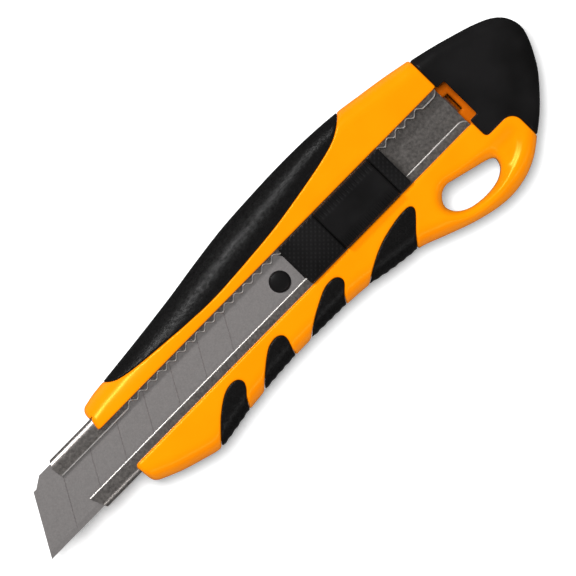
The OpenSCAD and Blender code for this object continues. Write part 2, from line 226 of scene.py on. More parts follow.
def surface(field, axes):
    """Vertices and quads of the field's zero surface, with one vertex in each cell that it crosses."""
    inside = field < 0
    shape = [n - 1 for n in field.shape]
    corners = [(i, j, k) for i in (0, 1) for j in (0, 1) for k in (0, 1)]

    def shifted(a, c):
        return a[c[0]:c[0] + shape[0], c[1]:c[1] + shape[1], c[2]:c[2] + shape[2]]

    count = sum(shifted(inside, c).astype(np.int8) for c in corners)
    active = (count > 0) & (count < 8)
    cells = np.argwhere(active)
    number = np.full(active.shape, -1, np.int64)
    number[active] = np.arange(len(cells))
    value = [field[tuple((cells + c).T)] for c in corners]
    total, hits = np.zeros((len(cells), 3)), np.zeros(len(cells))
    for a, corner in enumerate(corners):
        for axis in range(3):
            if corner[axis]:
                continue
            other = list(corner)
            other[axis] = 1
            b = corners.index(tuple(other))
            crossed = (value[a] < 0) != (value[b] < 0)
            point = np.tile(np.array(corner, float), (len(cells), 1))
            step = value[a] - value[b]
            point[:, axis] = value[a] / np.where(crossed, step, 1)
            total[crossed] += point[crossed]
            hits[crossed] += 1
    local = total / hits[:, None]
    verts = np.empty_like(local)
    for axis in range(3):
        low = axes[axis][cells[:, axis]]
        verts[:, axis] = low + local[:, axis] * (axes[axis][cells[:, axis] + 1] - low)
    quads = []
    for axis in range(3):
        one, two = (axis + 1) % 3, (axis + 2) % 3
        here = [slice(1, -1)] * 3
        after = [slice(1, -1)] * 3
        here[axis], after[axis] = slice(0, -1), slice(1, None)
        a, b = inside[tuple(here)], inside[tuple(after)]
        for flips in (False, True):
            edge = np.argwhere((a & ~b) if not flips else (~a & b))
            edge[:, one] += 1
            edge[:, two] += 1
            ring = []
            for back_one, back_two in ((1, 1), (0, 1), (0, 0), (1, 0)):
                cell = edge.copy()
                cell[:, one] -= back_one
                cell[:, two] -= back_two
                ring.append(number[tuple(cell.T)])
            quads.append(np.stack(ring[::-1] if flips else ring, 1))
    return verts, np.concatenate(quads)


def mesh_piece(name, verts, faces, material, crease=None):
    """A mesh object from millimetre vertices; edges sharper than crease, in degrees, stay sharp."""
    mesh = bpy.data.meshes.new(name)
    mesh.from_pydata((np.asarray(verts) * MM).tolist(), [], [list(f) for f in faces])
    mesh.validate()
    mesh.shade_smooth()
    if crease is not None:
        mesh.set_sharp_from_angle(angle=math.radians(crease))
    mesh.materials.append(material)
    piece = bpy.data.objects.new(name, mesh)
    bpy.context.scene.collection.objects.link(piece)
    return piece


# ---------------------------------------------------------------- shapes to meshes


class Plan:
    """Distance to an outline, worked out once on a raster and then read at any point."""

    STEP = 0.25

    def __init__(self, points, low, high):
        self.low = np.array(low, float)
        xs = np.arange(low[0], high[0] + self.STEP, self.STEP)
        ys = np.arange(low[1], high[1] + self.STEP, self.STEP)
        self.table = outline_distance(points, *np.meshgrid(xs, ys, indexing="ij"))

    def __call__(self, x, y):
        u = np.clip((x - self.low[0]) / self.STEP, 0, self.table.shape[0] - 1.001)
        v = np.clip((y - self.low[1]) / self.STEP, 0, self.table.shape[1] - 1.001)
        i, j = u.astype(int), v.astype(int)
        s, t = u - i, v - j
        near = self.table[i, j] * (1 - t) + self.table[i, j + 1] * t
        far = self.table[i + 1, j] * (1 - t) + self.table[i + 1, j + 1] * t
        return near * (1 - s) + far * s


SLOPE_REACH = 0.03
SMOOTHING_ROUNDS = 3
LONGEST_SHIFT = 0.4


def gradient(shape, points):
    """Slope of a distance field at each point."""
    steps = []
    for axis in range(3):
        ahead, behind = points.copy(), points.copy()
        ahead[:, axis] += SLOPE_REACH
        behind[:, axis] -= SLOPE_REACH
        steps.append((shape(*ahead.T) - shape(*behind.T)) / (2 * SLOPE_REACH))
    return np.stack(steps, 1)


def relaxed(shape, verts, quads):
    """Evens out the vertices along the surface and puts each one back on it."""
    links = np.concatenate([quads[:, [i, (i + 1) % 4]] for i in range(4)])
    links = np.concatenate([links, links[:, ::-1]])
    degree = np.bincount(links[:, 0], minlength=len(verts))[:, None]
    for _ in range(SMOOTHING_ROUNDS):
        total = np.stack([np.bincount(links[:, 0], verts[links[:, 1], a], len(verts)) for a in range(3)], 1)
        moved = 0.5 * verts + 0.5 * total / degree
        slope = gradient(shape, moved)
        size = np.maximum((slope ** 2).sum(1), 0.25)[:, None]
        shift = shape(*moved.T)[:, None] * slope / size
        length = np.linalg.norm(shift, axis=1)[:, None]
        verts = moved - shift * np.minimum(1, LONGEST_SHIFT / np.maximum(length, 1e-9))
    return verts


def shape_piece(name, shape, axes, material):
    """A closed mesh of a shape that is given as a distance field over x, y and z."""
    xs, ys, zs = [np.asarray(a, float) for a in axes]
    flat_x, flat_y = (a[:, :, None] for a in np.meshgrid(xs, ys, indexing="ij"))
    field = shape(flat_x, flat_y, zs[None, None, :])
    verts, quads = surface(field, (xs, ys, zs))
    return mesh_piece(name, relaxed(shape, verts, quads), quads, material)


# ---------------------------------------------------------------- handle

PLAN_LOW, PLAN_HIGH = (-97, -25), (68, 33)
side_plan = Plan(SIDES, PLAN_LOW, PLAN_HIGH)
cap_plan = Plan(CAP_ZONE, PLAN_LOW, PLAN_HIGH)
hole_plan = Plan(HOLE, PLAN_LOW, PLAN_HIGH)
zone_plans = {name: Plan(points, PLAN_LOW, PLAN_HIGH) for name, points in ZONES.items()}

# The dip around the hang hole: its depth, and from which rim, rail side, rear and front it eases in
DISH_DEPTH = 1.15
DISH_RIM, DISH_RIM_EASE = 2.9, 3.2
DISH_SIDE, DISH_SIDE_EASE = 13.6, 4.6
DISH_REAR, DISH_REAR_EASE = -74.5, 4
DISH_FRONT, DISH_FRONT_EASE = -43, 5


def dish(x, y):
    """How far the top dips around the hang hole, inside the rim of the loop."""
    depth = DISH_DEPTH
    for share in ((-side_plan(x, y) - DISH_RIM) / DISH_RIM_EASE, (y - DISH_SIDE) / DISH_SIDE_EASE,
                  (x - DISH_REAR) / DISH_REAR_EASE, (DISH_FRONT - x) / DISH_FRONT_EASE):
        q = np.clip(share, 0, 1)
        depth = depth * q * q * (3 - 2 * q)
    return depth


# The nose: the radius of its edge, and how it leans beside the flat stretch in its middle
NOSE_R, NOSE_LEAN, NOSE_FLAT = 1.6, 0.09, 7


def front_face(x, y):
    """Distance in front of the handle's nose, which leans back a little towards both edges."""
    lean = NOSE_LEAN * np.maximum(np.abs(y - SLOT_Y) - NOSE_FLAT, 0)
    return x - FRONT_X + lean


# The crease between the face and the bevel along the spine, which fades out towards the rear
CREASE = smooth([(64, -10.2), (52, -10.2), (43, -10.3), (34, -11), (22, -12.2), (10, -13.6), (-2, -14.9),
                 (-14, -15.9), (-26, -16.3), (-40, -15.8)])[::-1]
BEVEL_TILT = math.radians(38)
BEVEL_X, BEVEL_R = (28, 44), (1.8, 3.0)
BEVEL_END, BEVEL_FADE, BEVEL_LIFT = -8, 30, 3
# Where the radius of the face's edge goes from REAR_R to FACE_R
EDGE_X = (-72, -60)
# How much the cap's back rises and its face drops towards its end
BACK_TAPER, FACE_TAPER = 1.0, 1.5


def outer_shape(x, y, z, proud=0.0):
    """The handle and cap as one smooth body, thinner towards the rear and bevelled along the spine."""
    s = np.clip((JOINT_X - x) / (JOINT_X - CAP_LOW[0]), 0, 1)
    low, high = BACK_TAPER * s * s, FACE_Z - FACE_TAPER * s * s + proud - dish(x, y)
    body = slab(side_plan(x, y), z, low, high, BACK_R, np.interp(x, EDGE_X, (REAR_R, FACE_R)))
    crease = np.interp(x, *zip(*CREASE))
    fade = np.clip((BEVEL_END - x) / BEVEL_FADE, 0, 1)
    bevel = (crease - y) * math.sin(BEVEL_TILT) + (z - high) * math.cos(BEVEL_TILT)
    body = both(body, bevel - BEVEL_LIFT * fade * fade, np.interp(x, BEVEL_X, BEVEL_R))
    return both(body, front_face(x, y), NOSE_R)


# How much thicker the core is than the soft grips alone would leave it
CORE_SWELL = 0.8


def core_shape(x, y, z, inset=GRIP_T):
    """The hard core under the soft grips."""
    side = np.maximum(side_plan(x, y) + inset, outer_shape(x, y, z) + inset - CORE_SWELL)
    return np.maximum(side, np.maximum(inset - z, z - FACE_Z + inset))


# The hollow under the rail, and the hole in its roof that the rail's tab goes through
HOLLOW_FRONT, HOLLOW_Y, HOLLOW_Z = 44, (-7.6, 8.6), (2.6, RAIL_Z - 2.5)
TAB_X, TAB_Y, TAB_Z = (-66.7, -64.8), (-2.7, 2.9), (RAIL_Z - 3.5, RAIL_Z + 1)
# The notch in the cap behind the rail, and the pocket below it in the spigot
NOTCH_L, NOTCH_Y, NOTCH_R = 2.6, (-5.6, 6.6), 0.4
POCKET_L, POCKET_Y, POCKET_DEPTH = 2.9, (-6, 7), 5.4


def rail_room(x, y, z):
    """The tunnel that the rail lies in."""
    half = RAIL_HALF + RAIL_SEAT
    return box_distance(x, y, z, (CUT_REAR, -half, RAIL_Z - RAIL_SEAT),
                        (CUT_FRONT, half, RAIL_TOP + RAIL_SEAT))


def hollow_room(x, y, z):
    """The hollow under the rail, with the hole for the tab."""
    corners = zip((CUT_REAR, HOLLOW_FRONT), HOLLOW_Y, HOLLOW_Z)
    return np.minimum(box_distance(x, y, z, *corners), box_distance(x, y, z, *zip(TAB_X, TAB_Y, TAB_Z)))


def slot_room(x, y, z):
    """The slot that the slider runs in."""
    return box_distance(x, y, z, (CUT_REAR, SLOT_LOW, RAIL_Z), (CUT_FRONT, SLOT_HIGH, CUT_TOP))


def pocket_room(x, y, z):
    """A pocket in the spigot, below the notch in the cap."""
    return box_distance(x, y, z, (JOINT_X - POCKET_L, POCKET_Y[0], FACE_Z - POCKET_DEPTH),
                        (JOINT_X + 0.5, POCKET_Y[1], CUT_TOP))


# Edge radii at the seam, the hang hole, the grips and the cap, and along each side of the slot
SEAM_R, HOLE_R, GRIP_R, CAP_R = 0.4, 3.0, 0.35, 0.6
SLOT_ROUNDING = (0.5, 1.1)
# The spigot and the mouth of the cap around it, seen from above
SPIGOT_EDGE, SPIGOT_FIT, SPIGOT_R = 11.5, 0.2, 0.8
SPIGOT = [(JOINT_X + 1, -12.8), (-74.5, -10.8), (-74.5, 10.3), (JOINT_X + 1, 10.3)]
MOUTH = [(JOINT_X + 3, -13.2), (-74, -11.2), (-74, 10.5), (JOINT_X + 3, 10.5)]
spigot_plan = Plan(SPIGOT, PLAN_LOW, PLAN_HIGH)
mouth_plan = Plan(MOUTH, PLAN_LOW, PLAN_HIGH)


def handle_shape(x, y, z):
    """The moulding: pockets for the grips, the spigot under the cap, and the rooms of the rail and slider."""
    body = cut(outer_shape(x, y, z), cap_plan(x, y) - JOINT_GAP / 2, SEAM_R)
    body = cut(body, hole_plan(x, y), HOLE_R)
    for plan in zone_plans.values():
        body = cut(body, np.maximum(plan(x, y), -core_shape(x, y, z)), GRIP_R)
    spigot_low, spigot_high = WALL + SPIGOT_FIT, FACE_Z - WALL - SPIGOT_FIT
    body = np.minimum(body, slab(spigot_plan(x, y), z, spigot_low, spigot_high, SPIGOT_R, SPIGOT_R))
    body = cut(body, pocket_room(x, y, z), CRISP)
    body = cut(body, slot_room(x, y, z), np.interp(y, (SLOT_Y - 2, SLOT_Y + 2), SLOT_ROUNDING))
    body = cut(body, rail_room(x, y, z), CRISP)
    return cut(body, hollow_room(x, y, z), CRISP)


RIB_PITCH, RIB_DEPTH, RIB_REACH = 2.7, 0.2, 2.5


def grip_shape(name):
    """One soft grip over the core; the finger grips have ribs along their outer edge."""
    plan = zone_plans[name]
    ribbed = name != "spine_grip"

    def shape(x, y, z):
        body = both(outer_shape(x, y, z, GRIP_PROUD), plan(x, y) + JOINT_GAP, GRIP_R)
        if ribbed:
            near_edge = np.clip(1 + side_plan(x, y) / RIB_REACH, 0, 1)
            body = body + near_edge * RIB_DEPTH / 2 * (1 - np.cos(2 * math.pi * x / RIB_PITCH))
        body = np.maximum(body, -core_shape(x, y, z, GRIP_T - JOINT_GAP))
        return cut(body, rail_room(x, y, z), 0.1)

    return shape


# The cap's floor and roof are thicker than its walls, except around its mouth
CAP_FLOOR, CAP_ROOF = 0.8, 0.9


def cap_shape(x, y, z):
    """The end cap: a hollow shell with a mouth over the spigot and a notch behind the rail."""
    body = both(outer_shape(x, y, z), cap_plan(x, y) + JOINT_GAP / 2, CAP_R)
    inner = np.maximum(np.maximum(side_plan(x, y), cap_plan(x, y)) + WALL,
                       np.maximum(WALL + CAP_FLOOR - z, z - FACE_Z + WALL + CAP_ROOF))
    mouth = np.maximum(mouth_plan(x, y), np.maximum(WALL - z, z - FACE_Z + WALL))
    body = cut(body, np.minimum(inner, mouth), CRISP)
    notch = box_distance(x, y, z, (JOINT_X - NOTCH_L, NOTCH_Y[0], FACE_Z - WALL - 1),
                         (JOINT_X + 3, NOTCH_Y[1], CUT_TOP))
    return cut(body, notch, NOTCH_R)


# ---------------------------------------------------------------- slider

BUTTON_X = (BUTTON_LOW[0], BUTTON_HIGH[0])
BUTTON_BASE = FACE_Z + 0.5
WEB_T = 0.8
CORNER_R = 0.6
KNURL_PITCH, KNURL_DEPTH = 1.6, 0.24
# The button's two guide pegs and their holes, and half the width of the window for its wedge
GUIDES = (BUTTON_X[1] - 2.6, BUTTON_X[0] + 2.6)
PEG_R, PEG_HOLE_R = 1.2, 1.35
WEDGE_HALF, WINDOW_HALF, WINDOW_REAR = 1.0, 1.1, -3


def knurl(x, y):
    """Cross-hatched pyramids, as a height over the surface."""
    u, v = (x + y) / KNURL_PITCH, (x - y) / KNURL_PITCH
    waves = np.abs((u % 1) - 0.5) + np.abs((v % 1) - 0.5)
    return KNURL_DEPTH * (1 - waves)


def base_shape(x, y, z):
    """The slider's body: a knurled pad in front, another behind, and a low web under the button."""
    low, high = BASE_LOW, BASE_HIGH
    side = box_side(x, y, low, high, CORNER_R)
    on_top = np.clip(z - high[2] + 1.5, 0, 1)
    pads = slab(side, z + on_top * knurl(x, y), low[2], high[2], 0.15, 0.4)
    between = np.maximum(BUTTON_X[0] - SLOT_GAP - x, x - BUTTON_X[1] - SLOT_GAP)
    pads = both(pads, -between, 0.3)
    web = np.maximum(side, np.maximum(low[2] - z, z - low[2] - WEB_T))
    body = np.minimum(pads, web)
    window = box_distance(x, y, z, (PAWL_X - WINDOW_HALF, WINDOW_REAR, low[2] - 1),
                          (PAWL_X + WINDOW_HALF, 2, low[2] + 2))
    body = np.maximum(body, -window)
    for centre in GUIDES:
        body = np.maximum(body, PEG_HOLE_R - np.hypot(x - centre, y - SLOT_Y))
    return body


# The button's ribs lie in a band along each side, and fade out towards its shallow middle
RIB, RIB_BAND, RIB_FADE, GROOVE_DEPTH = 1.2, 3.2, 1.6, 0.45
HOLLOW_DEPTH = 0.15
BUTTON_R = 0.6
WEDGE_REAR, WEDGE_FRONT = -1.8, 1.3


def button_shape(x, y, z):
    """The thumb button: a ribbed block with two pegs and a wedge below it."""
    low, high = np.array(BUTTON_LOW), np.array(BUTTON_HIGH)
    low[2] = BUTTON_BASE
    middle, half = (low + high) / 2, (high - low) / 2
    from_middle = np.abs(y - middle[1])
    on_band = np.clip((RIB_BAND - (half[1] - from_middle)) / RIB_FADE, 0, 1)
    wave = np.clip(1.2 - 2.6 * np.abs(((x - middle[0]) / RIB) % 1 - 0.5), 0, 1)
    hollow = HOLLOW_DEPTH * np.clip(1 - (from_middle / (half[1] - RIB_BAND)) ** 2, 0, 1)
    on_top = np.clip((z - low[2]) / 0.8, 0, 1)
    sunk = on_top * (GROOVE_DEPTH * on_band * wave + hollow)
    body = slab(box_side(x, y, low, high, CORNER_R), z + sunk, low[2], high[2], 0.2, BUTTON_R)
    for centre in GUIDES:
        ends = np.maximum(BASE_LOW[2] + 0.1 - z, z - low[2] - 0.5)
        body = np.minimum(body, np.maximum(np.hypot(x - centre, y - SLOT_Y) - PEG_R, ends))
    up = z - BUTTON_LOW[2]
    wedge = np.maximum(np.abs(x - PAWL_X) - WEDGE_HALF, np.maximum(WEDGE_REAR - y, -up))
    wedge = np.maximum(wedge, np.maximum((y + WEDGE_FRONT - up) / math.sqrt(2), z - low[2] - 0.5))
    return np.minimum(body, wedge)


CARRIER_HALF, CARRIER_FRONT, TONGUE_FRONT = 8.7, BASE_HIGH[0] - 0.1, 4
NECK_Y = (-3.9, 4.7)
STUD_Y, STUD_R, STUD_DOME = 0.6, 2.85, 0.07
CHANNEL_HALF, CHANNEL_Y = 2.2, (-10, 4.1)


def carrier_shape(x, y, z):
    """The plate in the rail: a tongue under the blade with its stud, and a neck between the lips."""
    rear, low = CARRIER_LOW[0], CARRIER_LOW[2]
    left, right = (rear, -CARRIER_HALF), (CARRIER_FRONT, CARRIER_HALF)
    tongue_side = box_side(x, y, left, (TONGUE_FRONT, CARRIER_HALF), 1.5)
    tongue = slab(tongue_side, z, low, BLADE_LOW[2] - 0.05, 0.2, 0.2)
    block = slab(box_side(x, y, left, right, 1.0), z, low, RAIL_TOP - SHEET_T - 0.25, 0.2, 0.2)
    neck_side = box_side(x, y, (rear, NECK_Y[0]), (CARRIER_FRONT, NECK_Y[1]), 0.5)
    neck = slab(neck_side, z, low, BASE_LOW[2], 0.1, 0.1)
    from_stud = np.hypot(x, y - STUD_Y)
    domed = z + STUD_DOME * from_stud ** 2 - 0.1
    stud = slab(from_stud - STUD_R, domed, low, RAIL_TOP + 0.1, 0.1, 0.5)
    body = np.minimum(np.minimum(tongue, block), np.minimum(neck, stud))
    channel = box_distance(x, y, z, (PAWL_X - CHANNEL_HALF, CHANNEL_Y[0], PAWL_LOW[2] - 0.1),
                           (PAWL_X + CHANNEL_HALF, CHANNEL_Y[1], FACE_Z))
    window = box_distance(x, y, z, (PAWL_X - WINDOW_HALF, WINDOW_REAR, PAWL_LOW[2] - 1.3),
                          (PAWL_X + WINDOW_HALF, 1, FACE_Z))
    body = np.maximum(body, -np.minimum(channel, window))
    for centre in GUIDES:
        hole = np.maximum(np.hypot(x - centre, y - SLOT_Y) - PEG_HOLE_R, BASE_LOW[2] - 1.3 - z)
        body = np.maximum(body, -hole)
    return body


# ---------------------------------------------------------------- rail


RAIL_SHEET_REAR = RAIL_LOW[0] + SHEET_T
# Points across the rail's front end, as y and x
RAIL_FRONT = [(-9.8, 76.6), (-8.4, 77.3), (-7.2, 77.8), (-5.6, 77.7), (-4.3, 76.8), (5, 76.2), (6.4, 75.3),
              (8.6, 74.9), (9.8, 74.4)]
FLARE_R, FLARE_L = 2.6, 2.2
# Width and height of the folds' outer quarter ellipse, and how the lips' sheared edges are rounded
RAIL_BEND = (2.2, 1.55)
LIP_EDGE, LIP_BEVEL = 0.25, 0.4
EDGE_ANGLES = (0, 22, 45, 67, 90)
LIP_REACH = 0.6


def flare(x):
    """How far each lip bends away from the gap at the rail's rear end."""
    end = RAIL_SHEET_REAR + FLARE_L
    return FLARE_R - math.sqrt(FLARE_R ** 2 - (end - x) ** 2) if x < end else 0.0


def tooth_edge(x):
    """Edge of the toothed lip: wavy where the pawl locks, straight before and after, flared behind."""
    y = TOOTH_Y
    if FIRST_TOOTH - TOOTH_PITCH / 2 < x < LAST_TOOTH:
        y -= TOOTH_DEPTH / 2 * (1 + math.cos(2 * math.pi * (x - PAWL_X) / TOOTH_PITCH))
    return y - flare(x)


def front_end(y):
    """Where the rail ends at each distance across it."""
    ys, xs = zip(*RAIL_FRONT)
    return float(np.interp(y, ys, xs))


def rail_section(low_lip, high_lip):
    """Outer and inner side of the folded sheet, from the toothed lip's edge round to the plain lip's edge."""
    (wide, high), half, top, bottom = RAIL_BEND, RAIL_HALF, RAIL_TOP, RAIL_Z
    outer, inner = [], []

    def add(y, z, inward_y, inward_z):
        outer.append((y, z))
        inner.append((y + inward_y * SHEET_T, z + inward_z * SHEET_T))

    def bend(cy, cz, start, end):
        for a in np.radians(np.linspace(start, end, 13)):
            normal = np.array([math.cos(a) / wide, math.sin(a) / high])
            normal /= np.linalg.norm(normal)
            add(cy + wide * math.cos(a), cz + high * math.sin(a), -normal[0], -normal[1])

    def lip(edge, side, angles):
        for a in np.radians(angles):
            y, lift = edge + side * LIP_BEVEL * (1 - math.cos(a)), LIP_EDGE * (1 - math.sin(a))
            outer.append((y, top - lift))
            inner.append((y, top - SHEET_T + lift))

    lip(low_lip, -1, EDGE_ANGLES)
    add(low_lip - LIP_REACH, top, 0, -1)
    bend(-half + wide, top - high, 90, 180)
    bend(-half + wide, bottom + high, 180, 270)
    for y in (-5, 0, 5):
        add(y, bottom, 0, 1)
    bend(half - wide, bottom + high, -90, 0)
    bend(half - wide, top - high, 0, 90)
    add(high_lip + LIP_REACH, top, 0, -1)
    lip(high_lip, 1, EDGE_ANGLES[::-1])
    return outer, inner


# The sections stand square to the rail up to here, and then turn step by step into its front end
LAST_SQUARE = 72
FRONT_STEPS = [0.3, 0.6, 0.85, 0.97, 1.0]
STEPS_PER_TOOTH = 12


def rail_mesh():
    """The rail as one sheet that is swept along the knife, and which of its faces are sheared lip edges."""
    stations = list(np.linspace(RAIL_SHEET_REAR, FIRST_TOOTH - TOOTH_PITCH / 2, 20))
    stations += list(np.linspace(stations[-1], LAST_TOOTH, (TOOTH_COUNT + 1) * STEPS_PER_TOOTH + 1))[1:]
    stations += list(np.linspace(LAST_TOOTH, LAST_SQUARE, 12))[1:]
    verts, rings = [], []
    for index in range(len(stations) + len(FRONT_STEPS)):
        base = stations[min(index, len(stations) - 1)]
        outer, inner = rail_section(tooth_edge(base), PLAIN_LIP + flare(base))
        share = 0 if index < len(stations) else FRONT_STEPS[index - len(stations)]
        ring = outer + inner[::-1]
        start = len(verts)
        for y, z in ring:
            verts.append((base + share * (front_end(y) - base), y, z))
        rings.append(range(start, len(verts)))
    n = len(rings[0])
    rows = len(EDGE_ANGLES) - 1
    edge_rows = {n - 1, *range(rows), *range(n // 2 - 1 - rows, n // 2)}
    faces, edges = [], []
    for a, b in zip(rings, rings[1:]):
        for i in range(n):
            j = (i + 1) % n
            if i in edge_rows:
                edges.append(len(faces))
            faces.append((a[i], a[j], b[j], b[i]))
    for ring, flip in ((rings[0], False), (rings[-1], True)):
        for i in range(n // 2 - 1):
            quad = (ring[i], ring[n - 1 - i], ring[n - 2 - i], ring[i + 1])
            faces.append(quad[::-1] if flip else quad)
    return verts, faces, edges


TAB_BEND, TAB_STEPS, TAB_HALF, TAB_L = 0.9, 6, 2.6, 2.5


def rail_tab():
    """The tab that is bent down from the back plate and hooks the rail into the handle."""
    r, mid_x, mid_z = TAB_BEND, RAIL_LOW[0] + SHEET_T / 2, RAIL_Z + SHEET_T / 2
    path = [(mid_x, RAIL_LOW[2]), (mid_x, mid_z - r)]
    for a in np.radians(np.linspace(180, 90, TAB_STEPS + 1))[1:]:
        path.append((mid_x + r + r * math.cos(a), mid_z - r + r * math.sin(a)))
    path.append((RAIL_LOW[0] + TAB_L, mid_z))
    verts, faces = [], []
    for i, (x, z) in enumerate(path):
        before, after = path[max(i - 1, 0)], path[min(i + 1, len(path) - 1)]
        along = np.array([after[0] - before[0], after[1] - before[1]])
        across = np.array([-along[1], along[0]]) / np.linalg.norm(along) * (SHEET_T / 2 - 0.02)
        for y, side in ((-TAB_HALF, -1), (TAB_HALF, -1), (TAB_HALF, 1), (-TAB_HALF, 1)):
            verts.append((x + side * across[0], y, z + side * across[1]))
    for i in range(len(path) - 1):
        for j in range(4):
            k = (j + 1) % 4
            faces.append((4 * i + j, 4 * i + k, 4 * i + 4 + k, 4 * i + 4 + j))
    faces.append((3, 2, 1, 0))
    end = 4 * (len(path) - 1)
    faces.append((end, end + 1, end + 2, end + 3))
    return verts, faces


# ---------------------------------------------------------------- materials


def material(name, base, roughness, metallic=0.0, specular=0.5):
    """A new material, its node tree and its shader."""
    m = bpy.data.materials.new(name)
    m.use_nodes = True
    tree = m.node_tree
    shader = tree.nodes["Principled BSDF"]
    shader.inputs["Base Color"].default_value = (*base, 1)
    shader.inputs["Roughness"].default_value = roughness
    shader.inputs["Metallic"].default_value = metallic
    shader.inputs["Specular IOR Level"].default_value = specular
    m.diffuse_color = (*base, 1)
    return m, tree, shader


def place(tree, stretch=(1, 1, 1)):
    """Object coordinates in millimetres, stretched along the axes."""
    coordinates = tree.nodes.new("ShaderNodeTexCoord")
    mapping = tree.nodes.new("ShaderNodeMapping")
    mapping.inputs["Scale"].default_value = [s / MM for s in stretch]
    tree.links.new(coordinates.outputs["Object"], mapping.inputs["Vector"])
    return mapping.outputs["Vector"]


def noise(tree, vector, scale, detail=3.0, roughness=0.5):
    """A cloudy value at this many spots to the millimetre."""
    node = tree.nodes.new("ShaderNodeTexNoise")
    node.inputs["Scale"].default_value = scale
    node.inputs["Detail"].default_value = detail
    node.inputs["Roughness"].default_value = roughness
    tree.links.new(vector, node.inputs["Vector"])
    return node.outputs["Fac"]


def ramp(tree, fac, stops):
    """A colour that runs through the stops as fac rises."""
    node = tree.nodes.new("ShaderNodeValToRGB")
    elements = node.color_ramp.elements
    while len(elements) < len(stops):
        elements.new(0.5)
    for element, (position, colour) in zip(elements, stops):
        element.position = position
        element.color = (*colour, 1)
    tree.links.new(fac, node.inputs["Fac"])
    return node.outputs["Color"]


def spread(tree, fac, low, high):
    """A value that runs from low to high as fac runs over the middle of a noise."""
    node = tree.nodes.new("ShaderNodeMapRange")
    for name, value in (("From Min", 0.3), ("From Max", 0.7), ("To Min", low), ("To Max", high)):
        node.inputs[name].default_value = value
    tree.links.new(fac, node.inputs["Value"])
    return node.outputs["Result"]


def bump(tree, shader, heights):
    """Bump from (height, depth in millimetres) pairs, one over the other."""
    normal = None
    for height, depth in heights:
        node = tree.nodes.new("ShaderNodeBump")
        node.inputs["Strength"].default_value = 1.0
        node.inputs["Distance"].default_value = depth * MM
        tree.links.new(height, node.inputs["Height"])
        if normal is not None:
            tree.links.new(normal, node.inputs["Normal"])
        normal = node.outputs["Normal"]
    tree.links.new(normal, shader.inputs["Normal"])


def orange_plastic(name, base, dull):
    """Moulded plastic: faint clouds from dull to base, a fine grain and slow waves in the gloss."""
    m, tree, shader = material(name, base, 0.24, specular=0.42)
    shader.inputs["Specular Tint"].default_value = (1, 0.8, 0.12, 1)
    p = place(tree)
    cloud = noise(tree, p, 0.06, 2)
    tree.links.new(ramp(tree, cloud, [(0.35, dull), (0.65, base)]), shader.inputs["Base Color"])
    fine = noise(tree, p, 2.2, 4, 0.6)
    tree.links.new(spread(tree, fine, 0.2, 0.28), shader.inputs["Roughness"])
    bump(tree, shader, [(fine, 0.006), (noise(tree, p, 0.35, 2), 0.012)])
    return m


def soft_grip():
    """Rubber with a fine grain, and a coarser one that breaks up its highlight."""
    m, tree, shader = material("soft_grip", (0.006, 0.006, 0.006), 0.3, specular=0.1)
    p = place(tree)
    grain = noise(tree, p, 3.5, 5, 0.7)
    tree.links.new(ramp(tree, grain, [(0.3, (0.0035, 0.0035, 0.0035)), (0.7, (0.007, 0.0066, 0.0066))]),
                   shader.inputs["Base Color"])
    tree.links.new(spread(tree, grain, 0.26, 0.34), shader.inputs["Roughness"])
    mottle = noise(tree, p, 0.9, 5, 0.75)
    tree.links.new(spread(tree, mottle, 0.0, 0.3), shader.inputs["Specular IOR Level"])
    bump(tree, shader, [(grain, 0.022), (mottle, 0.11)])
    return m


def black_plastic():
    """Matt black moulding with faint clouds and a fine grain."""
    m, tree, shader = material("black_plastic", (0.006, 0.006, 0.006), 0.37, specular=0.13)
    p = place(tree)
    fine = noise(tree, p, 2.6, 4, 0.6)
    cloud = noise(tree, p, 0.07, 3)
    tree.links.new(ramp(tree, cloud, [(0.35, (0.0048, 0.0046, 0.0046)), (0.65, (0.009, 0.0086, 0.0088))]),
                   shader.inputs["Base Color"])
    tree.links.new(spread(tree, fine, 0.32, 0.42), shader.inputs["Roughness"])
    bump(tree, shader, [(fine, 0.015)])
    return m


def steel(name, base, dark, roughness, grain=1.6, along=0.03, depth=0.003, metallic=1.0):
    """Rolled or ground steel: a fine speckle, and finer lines along X."""
    m, tree, shader = material(name, base, roughness, metallic)
    speck = noise(tree, place(tree), grain, 5, 0.7)
    lines = noise(tree, place(tree, (along, 4, 4)), 1.0, 4, 0.6)
    tree.links.new(ramp(tree, speck, [(0.3, dark), (0.7, base)]), shader.inputs["Base Color"])
    tree.links.new(spread(tree, speck, roughness - 0.03, roughness + 0.05), shader.inputs["Roughness"])
    bump(tree, shader, [(lines, depth), (speck, depth)])
    return m


ORANGE = orange_plastic("orange_plastic", (0.96, 0.272, 0.001), (0.94, 0.25, 0.0006))
# A darker copy of the orange: painted shade for the spigot under the cap's notch and for the floor behind the
# rail, deep in their recesses
SHADED_ORANGE = orange_plastic("spigot_painted_shade", (0.5, 0.1, 0.002), (0.42, 0.078, 0.002))
GRIP = soft_grip()
BLACK = black_plastic()
RAIL_STEEL = steel("rail_steel", (0.62, 0.575, 0.545), (0.26, 0.238, 0.225), 0.32, grain=1.1, metallic=0.92)
# The lips' sheared edges: lighter bare steel, partly real and partly a painted highlight that keeps the line
# along each lip bright from any side
EDGE_STEEL_AND_HIGHLIGHT = steel("rail_edge_and_highlight", (0.7, 0.675, 0.65), (0.56, 0.535, 0.51), 0.38, metallic=0.75)
BLADE_STEEL = steel("blade_steel", (0.46, 0.432, 0.425), (0.35, 0.33, 0.325), 0.45, grain=2.4, metallic=0.75)
SPRING_STEEL = steel("spring_steel", (0.6, 0.59, 0.57), (0.5, 0.49, 0.47), 0.28)


# ---------------------------------------------------------------- pieces

GRID_MARGIN = 0.6
GRIP_STEP, CAP_STEP, SLIDER_STEP, CARRIER_STEP = 0.35, 0.4, 0.2, 0.25


def finish_piece(piece, body, slot, *nodes):
    """Puts a piece on its body and hides the CAD nodes that it stands for; the slot argument is not used."""
    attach(piece, body)
    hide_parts(*nodes)
    return piece


